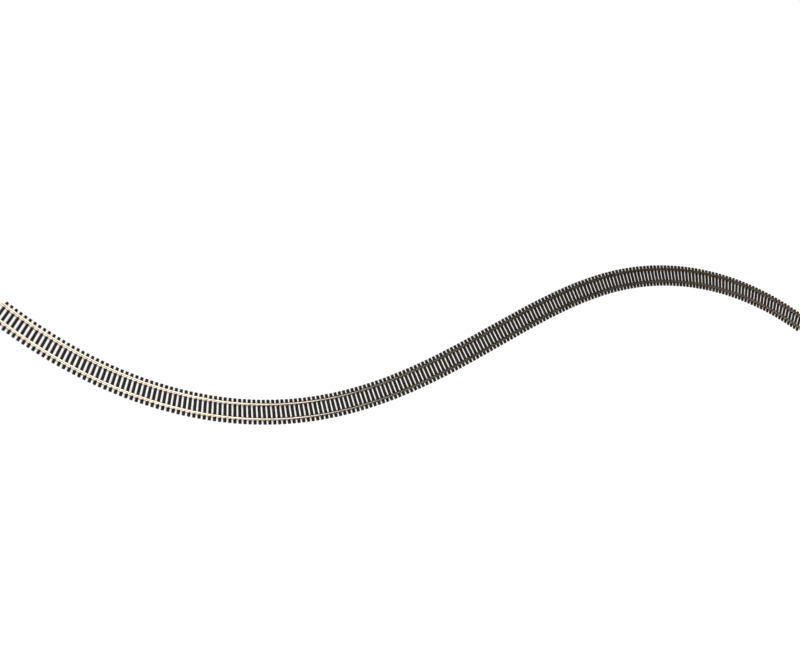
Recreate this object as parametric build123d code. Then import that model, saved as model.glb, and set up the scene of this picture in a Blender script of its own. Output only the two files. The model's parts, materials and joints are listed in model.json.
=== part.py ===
from build123d import *
import os
from math import cos, radians, sin

# A length of flexible model railway track of 9 mm gauge, laid loose in an S-curve.
# Two drawn rails run through a plastic sleeper strip, which is moulded in short sections
# that are threaded on to the rails end to end. Each section is one rigid body, and the
# rails are cut where the sections meet, so that every body carries its own span of rail.
#
# Frame: millimetres, +Z up, Z = 0 on the underside of the sleepers. The origin is under
# the sleeper in the middle of the track, and +X runs along the rails there. Sections are
# numbered from the -X end, and the left rail is the one on the +Y side.

# Sleeper strip
SECTION_COUNT = 17
SLEEPERS_PER_SECTION = 12
SLEEPER_PITCH = 3.56
SLEEPER_LENGTH = 16.5
SLEEPER_WIDTH = 1.75
SLEEPER_HEIGHT = 1.3
SLEEPER_CHAMFER = 0.12
LINK_WIDTH = 1.2            # link under a rail, from one sleeper to the next
LINK_BOTTOM = 0.2
LINK_TOP = 0.95
LINK_BITE = 0.2             # how far a link runs into each of its two sleepers

# Rail, flat-bottomed
GAUGE = 9.0                 # between the inner faces of the two rail heads
RAIL_HEIGHT = 2.03
HEAD_WIDTH = 0.85
HEAD_DEPTH = 0.55
HEAD_CORNER = 0.14
NECK_DEPTH = 0.12           # slope under the head, down to the web of the rail
WEB_WIDTH = 0.5
FOOT_WIDTH = 1.8
FOOT_EDGE = 0.24            # thickness of the foot at its edge
FOOT_SLOPE = 0.18           # how much higher the foot is where it meets the web
RAIL_OVERHANG = 1.78        # past the outer ends of the first and last sections
RAIL_CUT = 0.04             # gap between two spans of one rail

# Rail clips, moulded on the sleepers on both sides of each rail
CLIP_CLEARANCE = 0.04       # between a clip and the rail foot
CLIP_LENGTH = 0.9
CLIP_WALL = 0.5
CLIP_HEIGHT = 0.62
CLIP_LIP = 0.3              # how far the lip reaches in over the rail foot
CLIP_SHOULDER = 0.22        # bevel on the clip's outer top edge
CLIP_ROOT = 0.2             # how deep a clip is rooted in its sleeper

# How the track is laid: pairs of (sections from the -X end, degrees that the track turns
# in one section there). A turn to the left is positive, and it changes evenly in between.
BENDS = ((0, 6.6), (2, 8.8), (5, 9.0), (7, 5.4), (9.5, -0.5), (12.5, -8.8), (17, -9.2))
MIDDLE_SECTION = 8          # counted from 0
MIDDLE_SLEEPER = 6          # counted from 0 in the middle section: the origin is under it

SECTION_LENGTH = SLEEPERS_PER_SECTION * SLEEPER_PITCH
RAIL_OFFSET = (GAUGE + HEAD_WIDTH) / 2
SIDES = {"left": 1, "right": -1}


def section_turn(index):
    """Degrees that one section turns, read off BENDS at its middle."""
    middle = index + 0.5
    for (start, turn_a), (end, turn_b) in zip(BENDS, BENDS[1:]):
        if start <= middle <= end:
            return turn_a + (turn_b - turn_a) * (middle - start) / (end - start)
    return BENDS[-1][1]


def along(turn, length):
    """Where a run of this length ends, and which way it then points."""
    if turn == 0:
        return Location((length, 0, 0))
    radius = length / radians(turn)
    end = (radius * sin(radians(turn)), radius * (1 - cos(radians(turn))), 0)
    return Location(end, (0, 0, turn))


def in_section(index, distance):
    """From a section's start to a point this far along its centreline."""
    return along(TURNS[index] * distance / SECTION_LENGTH, distance)


def section_starts():
    """Place and heading of each section's start, worked outwards from the origin."""
    to_origin = in_section(MIDDLE_SECTION, (MIDDLE_SLEEPER + 0.5) * SLEEPER_PITCH)
    starts = {MIDDLE_SECTION: to_origin.inverse()}
    for index in range(MIDDLE_SECTION, SECTION_COUNT - 1):
        starts[index + 1] = starts[index] * in_section(index, SECTION_LENGTH)
    for index in range(MIDDLE_SECTION - 1, -1, -1):
        starts[index] = starts[index + 1] * in_section(index, SECTION_LENGTH).inverse()
    return starts


def foot_top(across):
    """Height of the rail foot's sloping top at this distance from the rail's middle."""
    share = (FOOT_WIDTH / 2 - across) / (FOOT_WIDTH / 2 - WEB_WIDTH / 2)
    return FOOT_EDGE + FOOT_SLOPE * share


def rail_profile():
    """Section of the rail, standing on the X axis and centred on the Y axis."""
    half_head = HEAD_WIDTH / 2
    half_web = WEB_WIDTH / 2
    half_foot = FOOT_WIDTH / 2
    neck_top = RAIL_HEIGHT - HEAD_DEPTH
    right = [
        (half_foot, 0),
        (half_foot, FOOT_EDGE),
        (half_web, foot_top(half_web)),
        (half_web, neck_top - NECK_DEPTH),
        (half_head, neck_top),
        (half_head, RAIL_HEIGHT),
    ]
    left = [(-across, up) for across, up in reversed(right)]
    outline = make_face(Polyline(*right, *left, close=True))
    corners = outline.vertices().filter_by_position(Axis.Y, RAIL_HEIGHT - 0.01, RAIL_HEIGHT + 0.01)
    return fillet(corners, HEAD_CORNER)


def rail_span(index, side):
    """One section's length of rail, bent to the section's radius."""
    first = -RAIL_OVERHANG if index == 0 else RAIL_CUT / 2
    last = SECTION_LENGTH - RAIL_CUT / 2
    if index == SECTION_COUNT - 1:
        last = SECTION_LENGTH + RAIL_OVERHANG
    length = last - first
    standing = Plane.YZ * (Pos(side * RAIL_OFFSET, SLEEPER_HEIGHT) * rail_profile())
    turn = TURNS[index] * length / SECTION_LENGTH
    if turn == 0:
        span = extrude(standing, amount=length, dir=(1, 0, 0))
    else:
        radius = length / radians(turn)
        bend_axis = Axis((0, radius, 0), (0, 0, 1 if turn > 0 else -1))
        span = revolve(standing, axis=bend_axis, revolution_arc=abs(turn))
    return STARTS[index] * in_section(index, first) * span


def clip():
    """A clip for the foot's +Y edge, as for a rail centred on Y = 0 and seated at Z = 0."""
    wall = FOOT_WIDTH / 2 + CLIP_CLEARANCE
    outside = wall + CLIP_WALL
    lip = FOOT_WIDTH / 2 - CLIP_LIP
    outline = [
        (wall, -CLIP_ROOT),
        (outside, -CLIP_ROOT),
        (outside, CLIP_HEIGHT - CLIP_SHOULDER),
        (outside - CLIP_SHOULDER, CLIP_HEIGHT),
        (lip, CLIP_HEIGHT),
        (lip, foot_top(lip) + CLIP_CLEARANCE),
        (wall, foot_top(wall) + CLIP_CLEARANCE),
    ]
    profile = Plane.YZ * make_face(Polyline(*outline, close=True))
    return Pos(-CLIP_LENGTH / 2, 0, 0) * extrude(profile, amount=CLIP_LENGTH, dir=(1, 0, 0))


def sleeper():
    """One sleeper across the X axis, with its four rail clips."""
    block = Pos(0, 0, SLEEPER_HEIGHT / 2) * Box(SLEEPER_WIDTH, SLEEPER_LENGTH, SLEEPER_HEIGHT)
    block = chamfer(block.faces().sort_by(Axis.Z)[-1].edges(), SLEEPER_CHAMFER)
    outer = clip()
    inner = mirror(outer, about=Plane.XZ)
    clips = []
    for side in SIDES.values():
        seat = Pos(0, side * RAIL_OFFSET, SLEEPER_HEIGHT)
        clips += [seat * outer, seat * inner]
    return block + clips


def sleeper_section(index):
    """One moulding of sleepers, linked under the left and the right rail in turn."""
    link_length = SLEEPER_PITCH - SLEEPER_WIDTH + 2 * LINK_BITE
    link = Box(link_length, LINK_WIDTH, LINK_TOP - LINK_BOTTOM)
    pieces = []
    for number in range(SLEEPERS_PER_SECTION):
        pieces.append(in_section(index, (number + 0.5) * SLEEPER_PITCH) * SLEEPER)
    for gap in range(1, SLEEPERS_PER_SECTION):
        side = 1 if gap % 2 else -1
        under_rail = Pos(0, side * RAIL_OFFSET, (LINK_TOP + LINK_BOTTOM) / 2)
        pieces.append(in_section(index, gap * SLEEPER_PITCH) * under_rail * link)
    return STARTS[index] * (pieces[0] + pieces[1:])


TURNS = [section_turn(index) for index in range(SECTION_COUNT)]
STARTS = section_starts()
SLEEPER = sleeper()

os.makedirs("parts", exist_ok=True)
for section in range(SECTION_COUNT):
    number = f"{section + 1:02d}"
    export_step(sleeper_section(section), f"parts/sleepers_{number}.step")
    for name, side in SIDES.items():
        export_step(rail_span(section, side), f"parts/{name}_rail_{number}.step")
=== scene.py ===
import json
from math import atan2, cos, pi, radians, sin, tau

import bmesh
import bpy
from mathutils import Matrix, Quaternion, Vector


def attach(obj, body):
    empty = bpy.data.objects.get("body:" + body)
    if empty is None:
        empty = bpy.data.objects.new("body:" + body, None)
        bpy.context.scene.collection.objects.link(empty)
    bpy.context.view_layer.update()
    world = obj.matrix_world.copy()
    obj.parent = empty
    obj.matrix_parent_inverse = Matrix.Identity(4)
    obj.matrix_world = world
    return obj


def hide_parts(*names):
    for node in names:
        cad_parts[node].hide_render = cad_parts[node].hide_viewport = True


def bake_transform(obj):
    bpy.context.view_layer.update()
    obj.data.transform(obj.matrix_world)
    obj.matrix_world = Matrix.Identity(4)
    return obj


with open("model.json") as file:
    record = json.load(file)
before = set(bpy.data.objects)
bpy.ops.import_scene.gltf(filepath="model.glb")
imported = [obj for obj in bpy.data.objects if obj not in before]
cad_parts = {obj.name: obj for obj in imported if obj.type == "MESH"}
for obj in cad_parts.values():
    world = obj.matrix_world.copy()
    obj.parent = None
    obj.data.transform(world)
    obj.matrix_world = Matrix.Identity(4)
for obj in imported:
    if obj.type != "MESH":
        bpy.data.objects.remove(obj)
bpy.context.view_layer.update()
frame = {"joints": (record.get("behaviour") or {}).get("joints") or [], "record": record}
bpy.ops.object.select_all(action="DESELECT")

# ---- The lie of the track -------------------------------------------------------------
# The track lies loose in an S-curve. Each moulded section is one arc, tangent to its
# neighbours, so the hinges between sections and the rail ends settle the whole curve.
# Lengths along the track are counted from the rails' ends at its -X end.
SLEEPERS_PER_SECTION = 12
CURVE_STEPS = 24            # short chords to a section

mounts = {m["name"]: Vector(m["pos_m"]) for m in frame["record"]["mounts"]}
track_start = (mounts["left_rail_start"] + mounts["right_rail_start"]) / 2
track_finish = (mounts["left_rail_finish"] + mounts["right_rail_finish"]) / 2
joints = sorted(frame["joints"], key=lambda joint: joint["name"])
hinges = [Vector(joint["pos_m"]) for joint in joints]
left_of_origin = sum(joint["axis"][2] < 0 for joint in joints)


def arcs_through(heading, stops):
    """Tangent arcs from the origin through the stops: (centreline points, arc length)."""
    place = Vector((0, 0, 0))
    arcs = []
    for stop in stops:
        chord = Vector((stop.x - place.x, stop.y - place.y, 0))
        lean = (atan2(chord.y, chord.x) - heading + pi) % tau - pi
        length = chord.length * lean / sin(lean)
        points = []
        for step in range(1, CURVE_STEPS + 1):
            turned = 2 * lean * step / CURVE_STEPS
            reach = length * step / CURVE_STEPS * sin(turned / 2) / (turned / 2)
            direction = heading + turned / 2
            points.append(place + reach * Vector((cos(direction), sin(direction), 0)))
        arcs.append((points, length))
        place = points[-1]
        heading += 2 * lean
    return arcs


backward = arcs_through(pi, [*reversed(hinges[:left_of_origin]), track_start])
forward = arcs_through(0, [*hinges[left_of_origin:], track_finish])
line_points = [p for points, length in reversed(backward) for p in reversed(points)]
line_points += [Vector((0, 0, 0))]
line_points += [p for points, length in forward for p in points]
lengths = [length for points, length in reversed(backward)]
lengths[-1] += forward[0][1]
lengths += [length for points, length in forward[1:]]
track_length = sum(lengths)
section_length = lengths[len(lengths) // 2]
pitch = section_length / SLEEPERS_PER_SECTION

line_data = bpy.data.curves.new("centreline", "CURVE")
line_data.dimensions = "2D"
spline = line_data.splines.new("POLY")
spline.points.add(len(line_points) - 1)
for point, place in zip(spline.points, line_points):
    point.co = (place.x, place.y, 0, 1)
centreline = bpy.data.objects.new("centreline", line_data)
bpy.context.scene.collection.objects.link(centreline)


def on_centreline(mark):
    """The point this far along the track."""
    for first, second in zip(line_points, line_points[1:]):
        step = (second - first).length
        if mark <= step:
            return first.lerp(second, mark / step)
        mark -= step
    return line_points[-1]


# ---- Rails ----------------------------------------------------------------------------
# Two flat-bottomed bars of nickel silver, drawn through a die, so they are bright and
# finely lined along their length. Each runs the whole track in one piece; here every span
# crosses one hinge, and the first and last are half as long.
MM = 0.001
RAIL_HEIGHT = 2.03 * MM
HEAD_WIDTH = 0.85 * MM
HEAD_DEPTH = 0.55 * MM
HEAD_CORNER = 0.14 * MM
NECK_DEPTH = 0.12 * MM
WEB_WIDTH = 0.5 * MM
FOOT_WIDTH = 1.8 * MM
FOOT_EDGE = 0.24 * MM
FOOT_SLOPE = 0.18 * MM
FOOT_CORNER = 0.05 * MM
GAUGE = 9.0 * MM
RAIL_OFFSET = (GAUGE + HEAD_WIDTH) / 2
SLEEPER_HEIGHT = 1.3 * MM
RAIL_CREASE = radians(35)   # edges sharper than this stay crisp
SIDES = {"left": 1, "right": -1}


def select_only(*pieces):
    """Selects these pieces and nothing else, and makes the first the active one."""
    bpy.ops.object.select_all(action="DESELECT")
    for piece in pieces:
        piece.select_set(True)
    bpy.context.view_layer.objects.active = pieces[0]


def add_block(low, high):
    """A cuboid between two corners, left in edit mode with nothing selected."""
    size = high - low
    bpy.ops.object.select_all(action="DESELECT")
    bpy.ops.mesh.primitive_cube_add(size=1, location=(low + high) / 2, scale=size)
    bpy.ops.object.transform_apply(location=True, rotation=False, scale=True)
    bpy.ops.object.mode_set(mode="EDIT")
    bpy.ops.mesh.select_all(action="DESELECT")
    return bpy.context.object


def pick_faces(test):
    """In edit mode, selects the faces whose centre and normal pass the test."""
    bpy.ops.mesh.select_mode(type="FACE")
    bpy.ops.mesh.select_all(action="DESELECT")
    mesh = bmesh.from_edit_mesh(bpy.context.object.data)
    for face in mesh.faces:
        face.select_set(test(face.calc_center_median(), face.normal))
    bmesh.update_edit_mesh(bpy.context.object.data)


def upward(centre, normal):
    """Whether a face is a top."""
    return normal.z > 0.9


def pick_edges(test):
    """In edit mode, selects the edges whose two ends pass the test."""
    bpy.ops.mesh.select_mode(type="EDGE")
    bpy.ops.mesh.select_all(action="DESELECT")
    mesh = bmesh.from_edit_mesh(bpy.context.object.data)
    for edge in mesh.edges:
        edge.select_set(test(edge.verts[0].co, edge.verts[1].co))
    bmesh.update_edit_mesh(bpy.context.object.data)


def runs_along(first, second):
    """Whether an edge lies along the rail."""
    return abs(first.x - second.x) > 0.9 * (first - second).length


def map_in_millimetres(piece, unroll):
    """Maps every corner of every face by what unroll makes of its place and the normal."""
    layer = piece.data.uv_layers.active or piece.data.uv_layers.new()
    layer.name = "surface"
    for face in piece.data.polygons:
        for corner in face.loop_indices:
            place = piece.data.vertices[piece.data.loops[corner].vertex_index].co / MM
            layer.data[corner].uv = unroll(place, face.normal)


def lay_on_centreline(piece):
    """Bends a piece that was made along the X axis to the lie of the track."""
    select_only(piece)
    bend = piece.modifiers.new("lie of the track", "CURVE")
    bend.object = centreline
    bend.deform_axis = "POS_X"
    bpy.ops.object.modifier_apply(modifier=bend.name)


def copied(piece, name, shift):
    """A copy with its own mesh, moved by shift."""
    copy = bpy.data.objects.new(name, piece.data.copy())
    copy.data.transform(Matrix.Translation(shift))
    bpy.context.scene.collection.objects.link(copy)
    return copy


def rail_bar(length):
    """A straight rail from X = 0 to length, with a point every half pitch."""
    half_foot = FOOT_WIDTH / 2
    bar = add_block(Vector((0, -half_foot, 0)), Vector((length, half_foot, FOOT_EDGE)))
    pick_faces(upward)
    web_height = RAIL_HEIGHT - HEAD_DEPTH - NECK_DEPTH - FOOT_SLOPE - FOOT_EDGE
    for rise, widening in (
        (FOOT_SLOPE, WEB_WIDTH / FOOT_WIDTH),
        (web_height, 1),
        (NECK_DEPTH, HEAD_WIDTH / WEB_WIDTH),
        (HEAD_DEPTH, 1),
    ):
        bpy.ops.mesh.extrude_region_move(TRANSFORM_OT_translate={"value": (0, 0, rise)})
        bpy.ops.transform.resize(value=(1, widening, 1))
    top = RAIL_HEIGHT - HEAD_CORNER / 2
    pick_edges(lambda a, b: runs_along(a, b) and a.z > top)
    bpy.ops.mesh.bevel(offset=HEAD_CORNER, segments=3, affect="EDGES")
    slope = FOOT_EDGE + FOOT_SLOPE / 2
    pick_edges(lambda a, b: runs_along(a, b) and a.z < slope)
    bpy.ops.mesh.bevel(offset=FOOT_CORNER, segments=1, affect="EDGES")
    pick_edges(runs_along)
    bpy.ops.mesh.subdivide(number_cuts=round(2 * length / pitch) - 1)
    bpy.ops.object.mode_set(mode="OBJECT")
    map_in_millimetres(bar, lambda place, normal: (place.x, place.y + place.z))
    bpy.ops.object.shade_smooth_by_angle(angle=RAIL_CREASE)
    return bar


def srgb(code):
    """A hex colour in the linear values that a shader takes."""
    values = [int(code[place : place + 2], 16) / 255 for place in (1, 3, 5)]
    linear = [v / 12.92 if v <= 0.04045 else ((v + 0.055) / 1.055) ** 2.4 for v in values]
    return (*linear, 1)


def add_node(tree, kind, settings=None, **inputs):
    """Adds a node. An input is a value, or the output of another node to link to it."""
    node = tree.nodes.new(kind)
    for key, value in (settings or {}).items():
        setattr(node, key, value)
    for key, value in inputs.items():
        socket = node.inputs[key.replace("_", " ")]
        if isinstance(value, bpy.types.NodeSocket):
            tree.links.new(value, socket)
        else:
            socket.default_value = value
    return node


def set_ramp(ramp, *stops):
    """Sets a ramp's colours from (position, colour) pairs."""
    stock = ramp.color_ramp.elements
    while len(stock) < len(stops):
        stock.new(0.5)
    for element, (position, colour) in zip(stock, stops):
        element.position = position
        element.color = colour


def new_material(name):
    """A material with an empty node tree."""
    material = bpy.data.materials.new(name)
    material.use_nodes = True
    material.node_tree.nodes.clear()
    return material


# Nickel silver: a warm, slightly yellow white metal. Drawing leaves fine lines along the
# bar, 0.05 to 0.2 mm apart. Wheels and cleaning keep the head bright; the web and the foot
# are painted duller and browner, partly as tarnish and partly as painted shade under the
# head, with faint tarnished patches about 8 mm long.
nickel_silver = new_material("drawn nickel silver")
tree = nickel_silver.node_tree
surface = add_node(tree, "ShaderNodeUVMap", {"uv_map": "surface"})
lines_place = add_node(tree, "ShaderNodeMapping", Vector=surface.outputs["UV"],
                       Scale=(0.03, 6, 1))
lines = add_node(tree, "ShaderNodeTexNoise", {"noise_dimensions": "2D"},
                 Vector=lines_place.outputs["Vector"], Scale=1.0, Detail=3.0, Roughness=0.6)
patch_place = add_node(tree, "ShaderNodeMapping", Vector=surface.outputs["UV"],
                       Scale=(0.12, 0.5, 1))
patches = add_node(tree, "ShaderNodeTexNoise", {"noise_dimensions": "2D"},
                   Vector=patch_place.outputs["Vector"], Scale=1.0, Detail=2.0)
bright_metal = add_node(tree, "ShaderNodeValToRGB", Fac=patches.outputs["Fac"])
set_ramp(bright_metal, (0.35, srgb("#BAB1A1")), (0.7, srgb("#CEC6B9")))
# The colour of the web and foot: partly tarnish, partly painted shade under the head.
tarnished_and_shaded_metal = add_node(tree, "ShaderNodeValToRGB", Fac=patches.outputs["Fac"])
set_ramp(tarnished_and_shaded_metal, (0.3, srgb("#A99680")), (0.7, srgb("#BDB1A1")))
solid_place = add_node(tree, "ShaderNodeTexCoord")
height = add_node(tree, "ShaderNodeSeparateXYZ", Vector=solid_place.outputs["Object"])
head_bottom = SLEEPER_HEIGHT + RAIL_HEIGHT - HEAD_DEPTH
# The head takes the bright colour; below it the web and foot take the painted-shade, tarnished
# colour.
on_head = add_node(tree, "ShaderNodeMapRange", Value=height.outputs["Z"],
                   From_Min=head_bottom, From_Max=head_bottom + HEAD_DEPTH / 2)
tint = add_node(tree, "ShaderNodeMix", {"data_type": "RGBA"})
for socket, source in ((0, on_head.outputs["Result"]), (6, tarnished_and_shaded_metal.outputs["Color"]),
                       (7, bright_metal.outputs["Color"])):
    tree.links.new(source, tint.inputs[socket])
drawn = add_node(tree, "ShaderNodeMapRange", Value=lines.outputs["Fac"],
                 From_Min=0.3, From_Max=0.7, To_Min=0.1, To_Max=0.19)
tarnished = add_node(tree, "ShaderNodeMapRange", Value=lines.outputs["Fac"],
                     From_Min=0.3, From_Max=0.7, To_Min=0.17, To_Max=0.27)
dullness = add_node(tree, "ShaderNodeMapRange", Value=on_head.outputs["Result"],
                    To_Min=tarnished.outputs["Result"], To_Max=drawn.outputs["Result"])
ridges = add_node(tree, "ShaderNodeBump", Height=lines.outputs["Fac"], Strength=0.15,
                  Distance=0.02 * MM)
metal = add_node(tree, "ShaderNodeBsdfPrincipled", Base_Color=tint.outputs[2], Metallic=1.0,
                 Roughness=dullness.outputs["Result"], Normal=ridges.outputs["Normal"])
add_node(tree, "ShaderNodeOutputMaterial", Surface=metal.outputs["BSDF"])

half_span = section_length / 2
overhang = track_length - len(lengths) * section_length
end_span = half_span + overhang / 2
full_bar = rail_bar(section_length)
end_bar = rail_bar(end_span)
bodies = [f"section_{number + 1:02d}" for number in range(len(lengths))]
for side, sign in SIDES.items():
    seat = Vector((0, sign * RAIL_OFFSET, SLEEPER_HEIGHT))
    for number in range(len(lengths) + 1):
        bar = full_bar if 0 < number < len(lengths) else end_bar
        start = end_span + (number - 1) * section_length if number else 0
        span = copied(bar, f"{side}_rail_span_{number:02d}", seat + Vector((start, 0, 0)))
        lay_on_centreline(span)
        span.data.materials.append(nickel_silver)
        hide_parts(f"{side}_rail_{max(number, 1):02d}")
        if number == 0:
            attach(span, bodies[0])
        elif number == len(lengths):
            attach(span, bodies[-1])
        else:
            on_centreline(start)
            on_centreline(start + section_length)
            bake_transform(span)
bpy.data.objects.remove(full_bar)
bpy.data.objects.remove(end_bar)

# ---- Sleeper strip --------------------------------------------------------------------
# The sleepers are moulded in sections, in black-brown plastic with the grain of sawn wood.
# Each has a base plate, a clip and two bolt heads on both sides of each rail, and links
# under the left and the right rail in turn join it to its neighbours.
SLEEPER_LENGTH = 16.5 * MM
SLEEPER_WIDTH = 1.75 * MM
SLEEPER_EDGE = 0.12 * MM
CLIP_CLEARANCE = 0.04 * MM
CLIP_LENGTH = 0.9 * MM
CLIP_WALL = 0.5 * MM
CLIP_HEIGHT = 0.62 * MM
CLIP_LIP = 0.3 * MM
CLIP_SHOULDER = 0.2 * MM
ROOT_DEPTH = 0.1 * MM       # how deep what stands on a sleeper is rooted in it
PLATE_LENGTH = 1.3 * MM
PLATE_REACH = 0.95 * MM
PLATE_HEIGHT = 0.1 * MM
BOLT_RADIUS = 0.13 * MM
BOLT_HEIGHT = 0.26 * MM
BOLT_SPREAD = 0.38 * MM
BOLT_INSET = 0.234 * MM     # from the outer edge of the plate
LINK_WIDTH = 1.2 * MM
LINK_BOTTOM = 0.2 * MM
LINK_TOP = 0.95 * MM
LINK_BITE = 0.2 * MM        # how far a link reaches into a sleeper
LINK_EDGE = 0.08 * MM
SLEEPER_CREASE = radians(30)
GRAIN_SHIFT = 7.3           # in mm; what it adds across the grain makes sleepers differ
GRAIN_CYCLE = 6             # sleepers until the same grain comes round


def rail_clip(side):
    """A clip over the edge of the rail foot that faces this way, rail middle on Y = 0."""
    wall = FOOT_WIDTH / 2 + CLIP_CLEARANCE
    lip_bottom = FOOT_EDGE + CLIP_CLEARANCE
    near, far = sorted((side * wall, side * (wall + CLIP_WALL)))
    half = CLIP_LENGTH / 2
    clip = add_block(Vector((-half, near, -ROOT_DEPTH)), Vector((half, far, lip_bottom)))
    pick_faces(upward)
    rise = {"value": (0, 0, CLIP_HEIGHT - lip_bottom)}
    bpy.ops.mesh.extrude_region_move(TRANSFORM_OT_translate=rise)
    pick_faces(lambda centre, normal: normal.y * side < -0.9 and centre.z > lip_bottom)
    reach = {"value": (0, -side * (CLIP_LIP + CLIP_CLEARANCE), 0)}
    bpy.ops.mesh.extrude_region_move(TRANSFORM_OT_translate=reach)
    lip = wall - CLIP_LIP - CLIP_CLEARANCE / 2
    middle = (lip_bottom + CLIP_HEIGHT) / 2
    pick_edges(lambda a, b: max(abs(a.y), abs(b.y)) < lip and max(a.z, b.z) < middle)
    under_slope = FOOT_SLOPE * CLIP_LIP / (FOOT_WIDTH - WEB_WIDTH) * 2
    bpy.ops.transform.translate(value=(0, 0, under_slope))
    outside = wall + CLIP_WALL / 2
    pick_edges(lambda a, b: min(abs(a.y), abs(b.y)) > outside and min(a.z, b.z) > middle)
    bpy.ops.mesh.bevel(offset=CLIP_SHOULDER, segments=2, affect="EDGES")
    bpy.ops.object.mode_set(mode="OBJECT")
    return clip


def base_plate(side):
    """The plate that a clip stands on, with its two bolt heads."""
    inside = FOOT_WIDTH / 2 + CLIP_CLEARANCE
    near, far = sorted((side * inside, side * (inside + PLATE_REACH)))
    half = PLATE_LENGTH / 2
    plate = add_block(Vector((-half, near, -ROOT_DEPTH)), Vector((half, far, PLATE_HEIGHT)))
    pick_faces(upward)
    bpy.ops.mesh.bevel(offset=PLATE_HEIGHT / 2, segments=1, affect="EDGES")
    bpy.ops.object.mode_set(mode="OBJECT")
    bolts = []
    for along in (-BOLT_SPREAD, BOLT_SPREAD):
        across = side * (inside + PLATE_REACH - BOLT_INSET)
        middle = (along, across, (BOLT_HEIGHT - ROOT_DEPTH) / 2)
        bpy.ops.mesh.primitive_cylinder_add(vertices=6, radius=BOLT_RADIUS, location=middle,
                                            depth=BOLT_HEIGHT + ROOT_DEPTH)
        bpy.ops.object.transform_apply(location=True, rotation=False, scale=False)
        bolts.append(bpy.context.object)
    return [plate, *bolts]


def joined(pieces, name):
    """Joins pieces into one, under a new name."""
    select_only(*pieces)
    bpy.ops.object.join()
    bpy.context.object.name = name
    return bpy.context.object


def fused(body, additions):
    """Makes one closed skin of a body and what stands on it."""
    union = body.modifiers.new("moulded in one", "BOOLEAN")
    union.operation = "UNION"
    union.solver = "EXACT"
    union.use_self = True
    union.object = additions
    select_only(body)
    bpy.ops.object.modifier_apply(modifier=union.name)
    bpy.data.objects.remove(additions)
    return body


def along_the_grain(place, normal):
    """The grain runs along Y; on the sawn ends it shows as flat layers."""
    if abs(normal.y) > 0.7:
        return (place.x, place.z)
    return (place.y, place.x + place.z)


corner = Vector((SLEEPER_WIDTH / 2, SLEEPER_LENGTH / 2, SLEEPER_HEIGHT))
sleeper = add_block(Vector((-corner.x, -corner.y, 0)), corner)
pick_faces(upward)
bpy.ops.mesh.bevel(offset=SLEEPER_EDGE, segments=2, affect="EDGES")
bpy.ops.object.mode_set(mode="OBJECT")
fittings = []
for rail_side in SIDES.values():
    for clip_side in SIDES.values():
        fitted = [rail_clip(clip_side), *base_plate(clip_side)]
        rail_place = Matrix.Translation((0, rail_side * RAIL_OFFSET, SLEEPER_HEIGHT))
        for fitting in fitted:
            fitting.data.transform(rail_place)
        fittings += fitted
sleeper = fused(sleeper, joined(fittings, "fittings"))
map_in_millimetres(sleeper, along_the_grain)
select_only(sleeper)
bpy.ops.object.shade_smooth_by_angle(angle=SLEEPER_CREASE)

half_link = (pitch - SLEEPER_WIDTH) / 2 + LINK_BITE
link = add_block(Vector((-half_link, -LINK_WIDTH / 2, LINK_BOTTOM)),
                 Vector((half_link, LINK_WIDTH / 2, LINK_TOP)))
pick_faces(upward)
bpy.ops.mesh.bevel(offset=LINK_EDGE, segments=1, affect="EDGES")
bpy.ops.object.mode_set(mode="OBJECT")
map_in_millimetres(link, along_the_grain)


def sleeper_strip(count, first_gap, hinge_gap):
    """Sleepers in a row from X = 0, linked on alternate sides but not at the hinge."""
    row = []
    for number in range(count):
        one = copied(sleeper, "sleeper", Vector(((number + 0.5) * pitch, 0, 0)))
        for corner_map in one.data.uv_layers.active.data:
            corner_map.uv.y += GRAIN_SHIFT * (number % GRAIN_CYCLE)
        row.append(one)
    for gap in range(first_gap, count):
        if gap != hinge_gap:
            side = 1 if gap % 2 else -1
            row.append(copied(link, "link", Vector((gap * pitch, side * RAIL_OFFSET, 0))))
    return joined(row, "strip")


# Moulded black-brown polystyrene. The mould was cut with wood grain that runs the length
# of each sleeper, drawn here 0.15 to 0.4 mm wide so that it shows, with a few long cracks.
# The hollows of the grain are matt; its ridges are satin and rubbed a little lighter.
moulded_black = new_material("moulded sleeper plastic")
tree = moulded_black.node_tree
surface = add_node(tree, "ShaderNodeUVMap", {"uv_map": "surface"})
grain_place = add_node(tree, "ShaderNodeMapping", Vector=surface.outputs["UV"],
                       Scale=(0.3, 3.2, 1))
grain = add_node(tree, "ShaderNodeTexNoise", {"noise_dimensions": "2D"},
                 Vector=grain_place.outputs["Vector"], Scale=1.0, Detail=5.0,
                 Roughness=0.65, Distortion=0.4)
tone = add_node(tree, "ShaderNodeValToRGB", Fac=grain.outputs["Fac"])
set_ramp(tone, (0.32, srgb("#080504")), (0.5, srgb("#150F0B")), (0.7, srgb("#2E241D")))
sheen = add_node(tree, "ShaderNodeMapRange", Value=grain.outputs["Fac"],
                 From_Min=0.3, From_Max=0.7, To_Min=0.72, To_Max=0.45)
crack_place = add_node(tree, "ShaderNodeMapping", Vector=surface.outputs["UV"],
                       Scale=(0.12, 1.6, 1))
cracks = add_node(tree, "ShaderNodeTexNoise", {"noise_dimensions": "2D"},
                  Vector=crack_place.outputs["Vector"], Scale=1.0, Detail=2.0)
crack_line = add_node(tree, "ShaderNodeMapRange", Value=cracks.outputs["Fac"],
                      From_Min=0.48, From_Max=0.5)
crack_edge = add_node(tree, "ShaderNodeMapRange", Value=cracks.outputs["Fac"],
                      From_Min=0.52, From_Max=0.5)
crack = add_node(tree, "ShaderNodeMath", {"operation": "MULTIPLY"})
tree.links.new(crack_line.outputs["Result"], crack.inputs[0])
tree.links.new(crack_edge.outputs["Result"], crack.inputs[1])
depth = add_node(tree, "ShaderNodeMath", {"operation": "SUBTRACT"})
tree.links.new(grain.outputs["Fac"], depth.inputs[0])
tree.links.new(crack.outputs["Value"], depth.inputs[1])
relief = add_node(tree, "ShaderNodeBump", Height=depth.outputs["Value"], Strength=0.8,
                  Distance=0.08 * MM)
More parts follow.
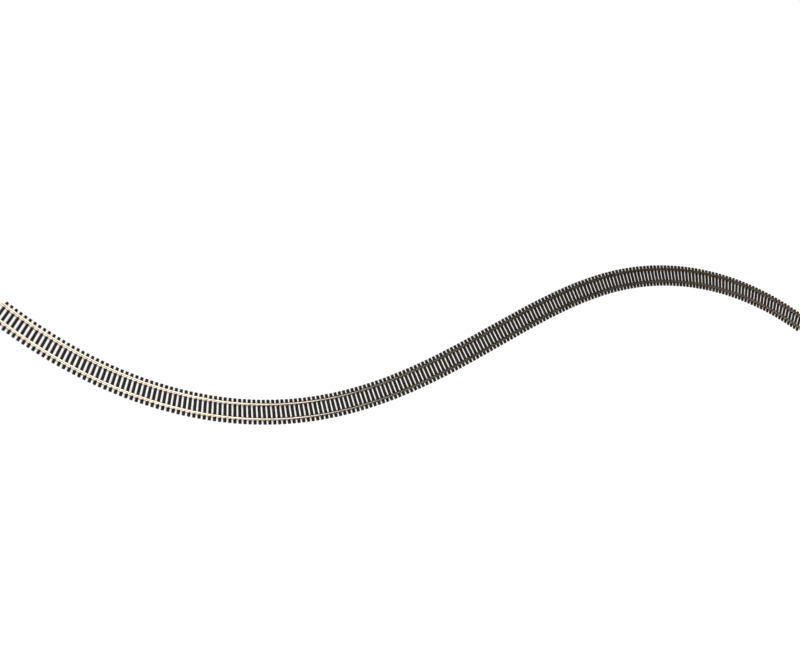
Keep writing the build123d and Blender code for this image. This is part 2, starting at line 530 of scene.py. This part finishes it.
plastic = add_node(tree, "ShaderNodeBsdfPrincipled", Base_Color=tone.outputs["Color"],
                   Specular_IOR_Level=0.2, Roughness=sheen.outputs["Result"],
                   Normal=relief.outputs["Normal"])
add_node(tree, "ShaderNodeOutputMaterial", Surface=plastic.outputs["BSDF"])

half_section = SLEEPERS_PER_SECTION // 2
full_strip = sleeper_strip(SLEEPERS_PER_SECTION, 0, half_section)
first_strip = sleeper_strip(half_section, 1, None)
last_strip = sleeper_strip(half_section, 0, None)
for number in range(len(lengths) + 1):
    start = end_span + (number - 1) * section_length
    if number == 0:
        strip = copied(first_strip, "sleepers_00", Vector((overhang / 2, 0, 0)))
    elif number == len(lengths):
        strip = copied(last_strip, f"sleepers_{number:02d}_end", Vector((start, 0, 0)))
    else:
        name = f"sleepers_{number:02d}_to_{number + 1:02d}"
        strip = copied(full_strip, name, Vector((start, 0, 0)))
    lay_on_centreline(strip)
    strip.data.materials.clear()
    strip.data.materials.append(moulded_black)
    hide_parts(f"sleepers_{max(number, 1):02d}")
    if number == 0:
        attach(strip, bodies[0])
    elif number == len(lengths):
        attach(strip, bodies[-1])
    else:
        on_centreline(start)
        on_centreline(start + section_length)
        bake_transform(strip)
for master in (sleeper, link, full_strip, first_strip, last_strip, centreline):
    bpy.data.objects.remove(master)

# ---- Floor, light and camera ------------------------------------------------------------
# A sheet of white paper, far larger than the track, that the track lies on. Its matt surface
# gives no mirror image of the rails.
FLOOR_SIZE = 40

floor_material = new_material("white paper")
tree = floor_material.node_tree
paper = add_node(tree, "ShaderNodeBsdfPrincipled", Base_Color=srgb("#F4F4F5"), Roughness=0.9)
add_node(tree, "ShaderNodeOutputMaterial", Surface=paper.outputs["BSDF"])
bpy.ops.mesh.primitive_plane_add(size=FLOOR_SIZE)
floor = bpy.context.object
floor.name = "floor"
floor.data.materials.append(floor_material)

# The room by direction: a white sweep rises behind the floor all round, soft white walls
# stand on the -X side, and the +X side is dim. The rails mirror it.
world = bpy.data.worlds.new("studio")
bpy.context.scene.world = world
world.use_nodes = True
tree = world.node_tree
tree.nodes.clear()
all_round = add_node(tree, "ShaderNodeTexCoord")
direction = add_node(tree, "ShaderNodeSeparateXYZ", Vector=all_round.outputs["Generated"])
by_wall = add_node(tree, "ShaderNodeMapRange", Value=direction.outputs["X"],
                   From_Min=0.35, From_Max=0.1)
by_sweep = add_node(tree, "ShaderNodeMapRange", Value=direction.outputs["Z"],
                    From_Min=0.3, From_Max=0.12)
room = add_node(tree, "ShaderNodeMapRange", Value=by_wall.outputs["Result"],
                To_Min=0.03, To_Max=0.4)
glow = add_node(tree, "ShaderNodeMapRange", Value=by_sweep.outputs["Result"],
                To_Min=room.outputs["Result"], To_Max=0.95)
air = add_node(tree, "ShaderNodeBackground", Color=srgb("#FFF7EE"),
               Strength=glow.outputs["Result"])
add_node(tree, "ShaderNodeOutputWorld", Surface=air.outputs["Background"])
bpy.context.scene.view_settings.view_transform = "Standard"

# Daylight from straight above, through a wide diffuser, so shadows have no edge.
DAYLIGHT_STRENGTH = 2.93
DAYLIGHT_SPREAD = radians(63)

daylight = bpy.data.lights.new("daylight", "SUN")
daylight.energy = DAYLIGHT_STRENGTH
daylight.angle = DAYLIGHT_SPREAD
lamp = bpy.data.objects.new("daylight", daylight)
bpy.context.scene.collection.objects.link(lamp)

# The camera looks down along the track from beyond its -X end, turned about its own line of
# sight so that the track lies across the view.
VIEW_LENS = 72.98
VIEW_AIM = Vector((-45.45, 34.15, 1.3)) * MM
VIEW_DISTANCE = 1138.3 * MM
VIEW_HEADING = radians(-3.527)
VIEW_DIP = radians(55.187)
VIEW_ROLL = radians(66.925)

level = Vector((cos(VIEW_HEADING), sin(VIEW_HEADING), 0))
looking = cos(VIEW_DIP) * level - sin(VIEW_DIP) * Vector((0, 0, 1))
camera_data = bpy.data.cameras.new("camera")
camera_data.lens = VIEW_LENS
camera_data.sensor_width = 36
camera = bpy.data.objects.new("camera", camera_data)
camera.location = VIEW_AIM - VIEW_DISTANCE * looking
camera.rotation_mode = "QUATERNION"
camera.rotation_quaternion = looking.to_track_quat("-Z", "Y") @ Quaternion((0, 0, 1), VIEW_ROLL)
bpy.context.scene.collection.objects.link(camera)
bpy.context.scene.camera = camera
